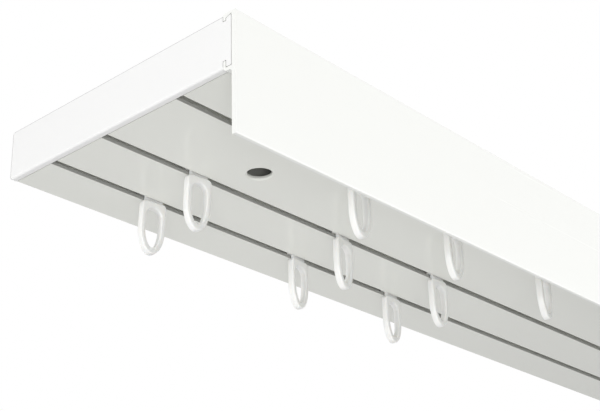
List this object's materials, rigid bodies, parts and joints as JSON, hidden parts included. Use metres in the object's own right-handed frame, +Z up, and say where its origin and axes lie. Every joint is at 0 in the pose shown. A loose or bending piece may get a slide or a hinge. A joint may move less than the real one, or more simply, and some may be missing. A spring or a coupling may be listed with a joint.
{
  "type": "curtain track",
  "caption": "Flat ceiling curtain track with slotted runs, a clip-on front fascia, end caps and sliding gliders with long eyes for curtain hooks.",
  "frame": {"origin": "on the ceiling plane, midway between the two fixing screw holes", "axes": "+X along the track to the right as seen from the room, +Y from the fascia to the rear, +Z up to the ceiling"},
  "size_m": [0.6, 0.1306, 0.05],
  "materials": {
    "rail_pvc": "satin extruded white",
    "fascia_pvc": "gloss extruded white",
    "cap_plastic": "satin moulded white",
    "glider_nylon": "satin moulded white"
  },
  "bodies": {
    "track": {"track_profile": "rail_pvc", "fascia": "fascia_pvc", "end_cap_left": "cap_plastic", "end_cap_right": "cap_plastic"},
    "glider_front_1": {"glider_front_1": "glider_nylon"},
    "glider_front_2": {"glider_front_2": "glider_nylon"},
    "glider_front_3": {"glider_front_3": "glider_nylon"},
    "glider_middle_1": {"glider_middle_1": "glider_nylon"},
    "glider_middle_2": {"glider_middle_2": "glider_nylon"},
    "glider_middle_3": {"glider_middle_3": "glider_nylon"},
    "glider_rear_1": {"glider_rear_1": "glider_nylon"},
    "glider_rear_2": {"glider_rear_2": "glider_nylon"},
    "glider_rear_3": {"glider_rear_3": "glider_nylon"}
  },
  "joints": [
    {"name": "glider_front_1_slide", "type": "slide", "parent": "track", "child": "glider_front_1", "axis": [1, 0, 0], "range_m": [-0.09515, 0.05284]},
    {"name": "glider_front_2_slide", "type": "slide", "parent": "track", "child": "glider_front_2", "axis": [1, 0, 0], "range_m": [-0.05284, 0.06123]},
    {"name": "glider_front_3_slide", "type": "slide", "parent": "track", "child": "glider_front_3", "axis": [1, 0, 0], "range_m": [-0.06123, 0.34654]},
    {"name": "glider_middle_1_slide", "type": "slide", "parent": "track", "child": "glider_middle_1", "axis": [1, 0, 0], "range_m": [-0.04273, 0.07741]},
    {"name": "glider_middle_2_slide", "type": "slide", "parent": "track", "child": "glider_middle_2", "axis": [1, 0, 0], "range_m": [-0.07741, 0.05896]},
    {"name": "glider_middle_3_slide", "type": "slide", "parent": "track", "child": "glider_middle_3", "axis": [1, 0, 0], "range_m": [-0.05896, 0.3757]},
    {"name": "glider_rear_1_slide", "type": "slide", "parent": "track", "child": "glider_rear_1", "axis": [1, 0, 0], "range_m": [-0.04572, 0.07794]},
    {"name": "glider_rear_2_slide", "type": "slide", "parent": "track", "child": "glider_rear_2", "axis": [1, 0, 0], "range_m": [-0.07794, 0.05753]},
    {"name": "glider_rear_3_slide", "type": "slide", "parent": "track", "child": "glider_rear_3", "axis": [1, 0, 0], "range_m": [-0.05753, 0.37365]}
  ]
}
